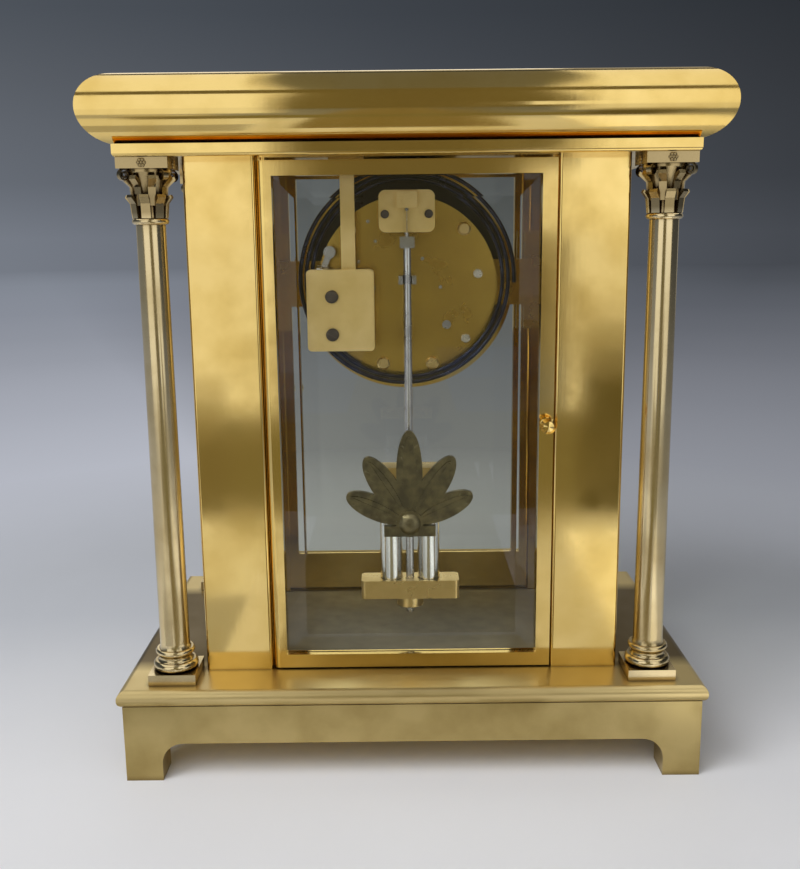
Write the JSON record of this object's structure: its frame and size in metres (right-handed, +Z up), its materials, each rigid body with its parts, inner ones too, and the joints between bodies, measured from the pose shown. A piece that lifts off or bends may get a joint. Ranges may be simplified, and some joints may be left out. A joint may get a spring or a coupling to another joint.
{
  "type": "mantel clock",
  "caption": "Small brass four-glass mantel clock: columned case, bevelled doors, open striking movement, coiled gong and mercury pendulum.",
  "frame": {"origin": "centre of the footprint on the table, under the feet", "axes": "+X to the right as seen from the dial, -Y is the way the dial faces, +Z up"},
  "size_m": [0.206, 0.124, 0.24],
  "materials": {
    "brass": "polished",
    "glass": "clear",
    "dial": "satin",
    "blued_steel": "blued",
    "steel": "polished",
    "bronze": "dark patina",
    "dark_paint": "matt",
    "mercury": "liquid mirror"
  },
  "bodies": {
    "case": {"plinth": "brass", "bottom_plate": "brass", "floor_panel": "dark_paint", "bracket_feet": "brass", "ceiling_plate": "brass", "top_slab": "brass", "column_front_left": "brass", "column_front_right": "brass", "column_rear_left": "brass", "column_rear_right": "brass", "post_front_left": "brass", "post_front_right": "brass", "post_rear_left": "brass", "post_rear_right": "brass", "side_glass_left": "glass", "side_glass_right": "glass", "dial_plate": "dial", "dial_bezel": "brass", "movement_bracket_left": "brass", "movement_bracket_right": "brass", "front_plate": "brass", "back_plate": "brass", "pillars": "brass", "back_cock": "brass", "gong": "blued_steel", "gong_stand": "brass"},
    "rear_door": {"rear_door_frame": "brass", "rear_door_glass": "glass", "rear_door_knob": "brass"},
    "front_door": {"front_door_frame": "brass", "front_door_glass": "glass", "front_door_knob": "brass"},
    "centre": {"centre_wheel": "brass", "cannon_pinion": "steel", "minute_hand": "blued_steel"},
    "second": {"second_wheel": "brass"},
    "going_drum": {"going_barrel": "brass"},
    "third": {"third_wheel": "brass"},
    "escape": {"escape_wheel": "brass"},
    "minute_work": {"minute_wheel": "brass"},
    "hour": {"hour_wheel": "brass", "hour_hand": "blued_steel"},
    "pendulum": {"suspension_spring": "steel", "pendulum_rod": "steel", "bob_frame": "brass", "vials": "glass", "mercury": "mercury", "palmette": "bronze"},
    "nut": {"rating_nut": "brass"},
    "anchor_body": {"anchor": "steel"},
    "going_shaft": {"going_arbor": "steel"},
    "going_pawl": {"going_click": "steel"},
    "strike_drum": {"strike_barrel": "brass"},
    "strike_shaft": {"strike_arbor": "steel"},
    "strike_pawl": {"strike_click": "steel"},
    "strike_second": {"strike_second_wheel": "brass"},
    "pin": {"pin_wheel": "brass"},
    "locking": {"locking_wheel": "brass"},
    "fly_body": {"fly": "brass"},
    "hammer_body": {"hammer": "steel"}
  },
  "joints": [
    {"name": "rear_door_swing", "type": "hinge", "parent": "case", "child": "rear_door", "pos_m": [0.0478, 0.041, 0.124], "axis": [0, 0, -1], "range_deg": [0, 95]},
    {"name": "front_door_swing", "type": "hinge", "parent": "case", "child": "front_door", "pos_m": [-0.0478, -0.041, 0.124], "axis": [0, 0, -1], "range_deg": [0, 95]},
    {"name": "centre_turn", "type": "hinge", "parent": "case", "child": "centre", "pos_m": [0, 0, 0.17], "axis": [0, 1, 0], "continuous": true},
    {"name": "second_turn", "type": "hinge", "parent": "case", "child": "second", "pos_m": [-0.01226, 0, 0.16984], "axis": [0, 1, 0], "continuous": true},
    {"name": "going_barrel_turn", "type": "hinge", "parent": "case", "child": "going_drum", "pos_m": [-0.0145, 0, 0.156], "axis": [0, 1, 0], "continuous": true},
    {"name": "third_turn", "type": "hinge", "parent": "case", "child": "third", "pos_m": [-0.00568, 0, 0.18025], "axis": [0, 1, 0], "continuous": true},
    {"name": "escape_turn", "type": "hinge", "parent": "case", "child": "escape", "pos_m": [0, 0, 0.1885], "axis": [0, 1, 0], "continuous": true},
    {"name": "minute_work_turn", "type": "hinge", "parent": "case", "child": "minute_work", "pos_m": [0, 0, 0.17818], "axis": [0, 1, 0], "continuous": true},
    {"name": "hour_turn", "type": "hinge", "parent": "case", "child": "hour", "pos_m": [0, 0, 0.17], "axis": [0, 1, 0], "continuous": true},
    {"name": "pin_turn", "type": "hinge", "parent": "case", "child": "pin", "pos_m": [0.01771, 0, 0.17928], "axis": [0, 1, 0], "continuous": true},
    {"name": "strike_second_turn", "type": "hinge", "parent": "case", "child": "strike_second", "pos_m": [0.01226, 0, 0.16984], "axis": [0, 1, 0], "continuous": true},
    {"name": "strike_barrel_turn", "type": "hinge", "parent": "case", "child": "strike_drum", "pos_m": [0.0145, 0, 0.156], "axis": [0, 1, 0], "continuous": true},
    {"name": "locking_turn", "type": "hinge", "parent": "case", "child": "locking", "pos_m": [0.01153, 0, 0.18665], "axis": [0, 1, 0], "continuous": true},
    {"name": "fly_turn", "type": "hinge", "parent": "case", "child": "fly_body", "pos_m": [0.01412, 0, 0.19377], "axis": [0, 1, 0], "continuous": true},
    {"name": "pendulum_swing", "type": "hinge", "parent": "case", "child": "pendulum", "pos_m": [0, 0.0218, 0.19772], "axis": [0, 1, 0], "range_deg": [-3.5, 3.5]},
    {"name": "anchor_rock", "type": "hinge", "parent": "case", "child": "anchor_body", "pos_m": [0, 0, 0.19772], "axis": [0, 1, 0], "range_deg": [-3.5, 3.5]},
    {"name": "rating_nut_turn", "type": "hinge", "parent": "pendulum", "child": "nut", "pos_m": [0, 0.0218, 0.0527], "axis": [0, 0, 1], "continuous": true},
    {"name": "going_winding", "type": "hinge", "parent": "case", "child": "going_shaft", "pos_m": [-0.0145, 0, 0.156], "axis": [0, 1, 0], "continuous": true},
    {"name": "strike_winding", "type": "hinge", "parent": "case", "child": "strike_shaft", "pos_m": [0.0145, 0, 0.156], "axis": [0, 1, 0], "continuous": true},
    {"name": "going_click_lift", "type": "hinge", "parent": "case", "child": "going_pawl", "pos_m": [-0.0145, -0.021, 0.1475], "axis": [0, 1, 0], "range_deg": [0, 12], "stiffness_Nm_per_rad": 0.0004},
    {"name": "strike_click_lift", "type": "hinge", "parent": "case", "child": "strike_pawl", "pos_m": [0.0145, -0.021, 0.1475], "axis": [0, -1, 0], "range_deg": [0, 12], "stiffness_Nm_per_rad": 0.0004},
    {"name": "hammer_lift", "type": "hinge", "parent": "case", "child": "hammer_body", "pos_m": [0.028, 0, 0.183], "axis": [0, 1, 0], "range_deg": [0, 12], "stiffness_Nm_per_rad": 0.002}
  ],
  "couplings": [
    {"joint": "second_turn", "follows": "centre_turn", "ratio": -0.13333},
    {"joint": "going_barrel_turn", "follows": "centre_turn", "ratio": 0.022222},
    {"joint": "third_turn", "follows": "centre_turn", "ratio": -12},
    {"joint": "escape_turn", "follows": "centre_turn", "ratio": 136},
    {"joint": "minute_work_turn", "follows": "centre_turn", "ratio": -0.33333},
    {"joint": "hour_turn", "follows": "centre_turn", "ratio": 0.083333},
    {"joint": "strike_second_turn", "follows": "pin_turn", "ratio": -0.13333},
    {"joint": "strike_barrel_turn", "follows": "pin_turn", "ratio": 0.022222},
    {"joint": "locking_turn", "follows": "pin_turn", "ratio": -7},
    {"joint": "fly_turn", "follows": "pin_turn", "ratio": 56},
    {"joint": "anchor_rock", "follows": "pendulum_swing", "ratio": 1}
  ]
}
